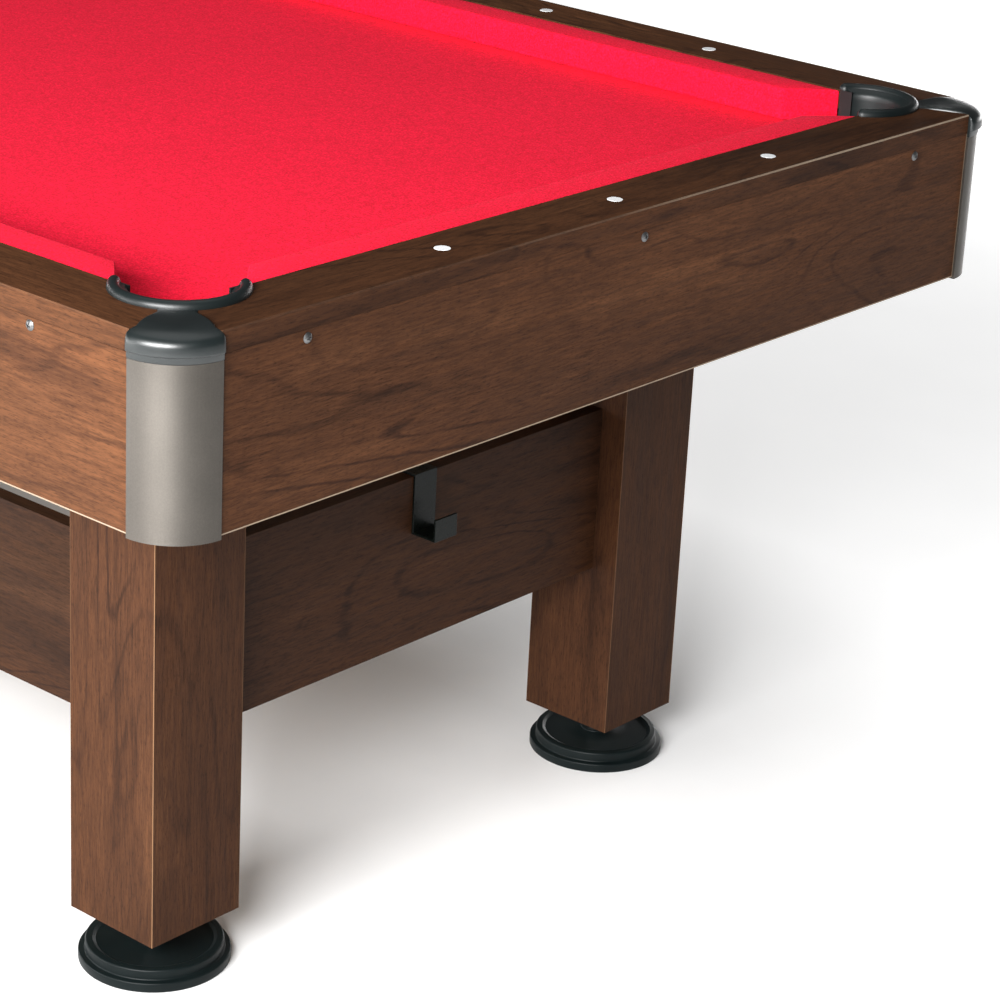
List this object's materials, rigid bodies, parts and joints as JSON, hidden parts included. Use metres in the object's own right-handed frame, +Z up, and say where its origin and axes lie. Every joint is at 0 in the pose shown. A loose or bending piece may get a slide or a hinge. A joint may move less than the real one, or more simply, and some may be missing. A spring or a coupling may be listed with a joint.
{
  "type": "pool table",
  "caption": "Full pool table with red cloth, cushioned rails, lined pockets, hidden ball return, deep aprons, square legs, stretchers and screw levellers.",
  "frame": {"origin": "on the floor under the centre of the table", "axes": "+X along the table, +Y across it, +Z up"},
  "size_m": [2.2352, 1.2446, 0.801],
  "materials": {
    "walnut_laminate": "semi-gloss printed walnut laminate",
    "fibreboard": "raw fibreboard",
    "red_cloth": "brushed worsted cloth",
    "black_plastic": "satin moulded plastic",
    "post_metal": "satin",
    "zinc_steel": "zinc plated",
    "black_steel": "black powder coat",
    "white_plastic": "glossy inlay"
  },
  "bodies": {
    "root": {"apron_front": "walnut_laminate", "apron_back": "walnut_laminate", "apron_right": "walnut_laminate", "apron_left": "walnut_laminate", "corner_post_front_right": "post_metal", "corner_post_front_left": "post_metal", "corner_post_back_right": "post_metal", "corner_post_back_left": "post_metal", "corner_cap_front_right": "black_plastic", "corner_cap_front_left": "black_plastic", "corner_cap_back_right": "black_plastic", "corner_cap_back_left": "black_plastic", "bed_board": "fibreboard", "bed_cloth": "red_cloth", "cross_beams": "fibreboard", "rail_blocks": "fibreboard", "rail_end_right": "walnut_laminate", "rail_end_left": "walnut_laminate", "rail_front_right": "walnut_laminate", "rail_front_left": "walnut_laminate", "rail_back_right": "walnut_laminate", "rail_back_left": "walnut_laminate", "cushion_end_right": "red_cloth", "cushion_end_left": "red_cloth", "cushion_front_right": "red_cloth", "cushion_front_left": "red_cloth", "cushion_back_right": "red_cloth", "cushion_back_left": "red_cloth", "corner_pocket_front_right": "black_plastic", "corner_pocket_front_left": "black_plastic", "corner_pocket_back_right": "black_plastic", "corner_pocket_back_left": "black_plastic", "side_pocket_front": "black_plastic", "side_pocket_back": "black_plastic", "ball_gutters": "black_plastic", "ball_box": "black_plastic", "leg_front_right": "walnut_laminate", "leg_front_left": "walnut_laminate", "leg_back_right": "walnut_laminate", "leg_back_left": "walnut_laminate", "leg_blocks": "fibreboard", "stretcher_front": "walnut_laminate", "stretcher_back": "walnut_laminate", "stretcher_right": "walnut_laminate", "stretcher_left": "walnut_laminate", "leveller_nuts": "zinc_steel", "rack_hook": "black_steel", "rail_sights": "white_plastic", "apron_screws": "zinc_steel", "rail_bolts": "zinc_steel", "frame_bolts": "zinc_steel"},
    "pad_front_right": {"leveller_pad_front_right": "black_plastic"},
    "stud_front_right": {"leveller_stud_front_right": "zinc_steel"},
    "pad_front_left": {"leveller_pad_front_left": "black_plastic"},
    "stud_front_left": {"leveller_stud_front_left": "zinc_steel"},
    "pad_back_right": {"leveller_pad_back_right": "black_plastic"},
    "stud_back_right": {"leveller_stud_back_right": "zinc_steel"},
    "pad_back_left": {"leveller_pad_back_left": "black_plastic"},
    "stud_back_left": {"leveller_stud_back_left": "zinc_steel"}
  },
  "joints": [
    {"name": "pad_lift_front_right", "type": "slide", "parent": "root", "child": "pad_front_right", "axis": [0, 0, 1], "range_m": [0, 0.02]},
    {"name": "stud_turn_front_right", "type": "hinge", "parent": "pad_front_right", "child": "stud_front_right", "pos_m": [0.8151, -0.3548, 0.05], "axis": [0, 0, 1], "range_deg": [0, 4115]},
    {"name": "pad_lift_front_left", "type": "slide", "parent": "root", "child": "pad_front_left", "axis": [0, 0, 1], "range_m": [0, 0.02]},
    {"name": "stud_turn_front_left", "type": "hinge", "parent": "pad_front_left", "child": "stud_front_left", "pos_m": [-0.8151, -0.3548, 0.05], "axis": [0, 0, 1], "range_deg": [0, 4115]},
    {"name": "pad_lift_back_right", "type": "slide", "parent": "root", "child": "pad_back_right", "axis": [0, 0, 1], "range_m": [0, 0.02]},
    {"name": "stud_turn_back_right", "type": "hinge", "parent": "pad_back_right", "child": "stud_back_right", "pos_m": [0.8151, 0.3548, 0.05], "axis": [0, 0, 1], "range_deg": [0, 4115]},
    {"name": "pad_lift_back_left", "type": "slide", "parent": "root", "child": "pad_back_left", "axis": [0, 0, 1], "range_m": [0, 0.02]},
    {"name": "stud_turn_back_left", "type": "hinge", "parent": "pad_back_left", "child": "stud_back_left", "pos_m": [-0.8151, 0.3548, 0.05], "axis": [0, 0, 1], "range_deg": [0, 4115]}
  ],
  "couplings": [
    {"joint": "stud_turn_front_right", "follows": "pad_lift_front_right", "rad_per_m": 3590.4},
    {"joint": "stud_turn_front_left", "follows": "pad_lift_front_left", "rad_per_m": 3590.4},
    {"joint": "stud_turn_back_right", "follows": "pad_lift_back_right", "rad_per_m": 3590.4},
    {"joint": "stud_turn_back_left", "follows": "pad_lift_back_left", "rad_per_m": 3590.4}
  ]
}
